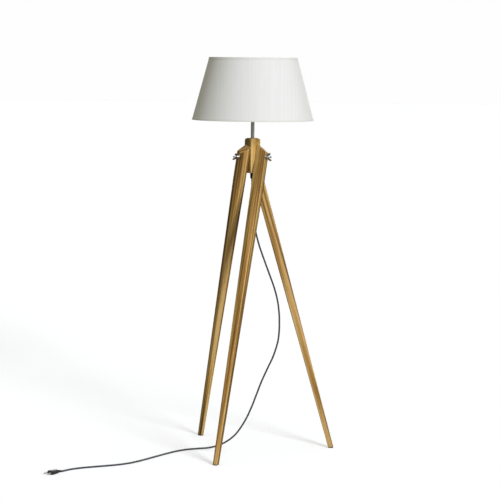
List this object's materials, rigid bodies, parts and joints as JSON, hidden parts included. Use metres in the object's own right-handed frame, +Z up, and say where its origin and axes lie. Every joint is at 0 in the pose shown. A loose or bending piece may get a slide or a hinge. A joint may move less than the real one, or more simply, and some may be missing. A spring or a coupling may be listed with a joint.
{
  "type": "tripod floor lamp",
  "caption": "Tripod floor lamp with a tapered fabric shade on a metal stem, a wooden hub, folding tapered wooden legs held by wing nuts, and a textile cord.",
  "frame": {"origin": "where the lamp's axis meets the floor", "axes": "+Z up along the stem; +X is the direction in which the right leg's foot stands out; -Y is the lamp's front"},
  "size_m": [1.039, 0.7563, 1.468],
  "materials": {
    "wood_hub": "oiled hardwood, satin",
    "wood_leg": "oiled striped hardwood, satin",
    "zinc_steel": "zinc plated",
    "nickel": "nickel plated",
    "satin_nickel": "satin nickel",
    "fibre": "pressed fibre",
    "felt": "dark brown felt",
    "black_plastic": "matt black",
    "cable_sheath": "matt",
    "white_plastic": "moulded, semi gloss",
    "rocker_plastic": "moulded, semi gloss",
    "porcelain": "glazed porcelain",
    "brass": "plain brass",
    "white_wire": "white powder coat",
    "shade_linen": "off-white laminated fabric with fine slubs",
    "shade_tape": "off-white folded tape",
    "bulb_glass": "clear glass",
    "filament": "phosphor coated stick",
    "textile_cord": "dark grey braided textile",
    "plug_plastic": "matt moulded"
  },
  "bodies": {
    "stand": {"hub": "wood_hub", "pivot_bolts": "zinc_steel", "friction_washers": "fibre", "outer_washers": "zinc_steel", "stem_tube": "satin_nickel", "threaded_rod": "zinc_steel", "cord_gland": "black_plastic", "inner_cable": "cable_sheath", "holder_base": "white_plastic", "holder_insert": "porcelain", "centre_contact": "brass", "screw_sleeve": "brass", "holder_mantle": "white_plastic", "shade_ring_lower": "white_plastic", "shade_ring_upper": "white_plastic", "shade_fitter": "white_wire", "shade_fabric": "shade_linen", "shade_wire_top": "white_wire", "shade_wire_bottom": "white_wire", "shade_hem_top": "shade_tape", "shade_hem_bottom": "shade_tape", "bulb_cap": "nickel", "bulb_glass": "bulb_glass", "bulb_filament": "filament", "cord": "textile_cord", "plug_body": "plug_plastic", "plug_pins": "nickel"},
    "leg_right": {"leg_right": "wood_leg", "foot_pad_right": "felt"},
    "wing_nut_right": {"wing_nut_right": "nickel"},
    "leg_left": {"leg_left": "wood_leg", "foot_pad_left": "felt"},
    "wing_nut_left": {"wing_nut_left": "nickel"},
    "leg_front": {"leg_front": "wood_leg", "foot_pad_front": "felt"},
    "wing_nut_front": {"wing_nut_front": "nickel"},
    "rocker": {"switch_rocker": "rocker_plastic"}
  },
  "joints": [
    {"name": "leg_right_fold", "type": "hinge", "parent": "stand", "child": "leg_right", "pos_m": [0, 0, 1.103], "axis": [0, -1, 0], "range_deg": [-15.6, 25]},
    {"name": "leg_left_fold", "type": "hinge", "parent": "stand", "child": "leg_left", "pos_m": [0, 0, 1.103], "axis": [0.866, 0.5, 0], "range_deg": [-15.6, 25]},
    {"name": "leg_front_fold", "type": "hinge", "parent": "stand", "child": "leg_front", "pos_m": [0, 0, 1.103], "axis": [-0.866, 0.5, 0], "range_deg": [-15.6, 25]},
    {"name": "wing_nut_right_turn", "type": "hinge", "parent": "stand", "child": "wing_nut_right", "pos_m": [0, 0, 1.103], "axis": [0, 1, 0], "continuous": true},
    {"name": "wing_nut_left_turn", "type": "hinge", "parent": "stand", "child": "wing_nut_left", "pos_m": [0, 0, 1.103], "axis": [-0.866, -0.5, 0], "continuous": true},
    {"name": "wing_nut_front_turn", "type": "hinge", "parent": "stand", "child": "wing_nut_front", "pos_m": [0, 0, 1.103], "axis": [0.866, -0.5, 0], "continuous": true},
    {"name": "rocker_tip", "type": "hinge", "parent": "stand", "child": "rocker", "pos_m": [0, -0.0168, 1.279], "axis": [1, 0, 0], "range_deg": [0, 20]}
  ]
}
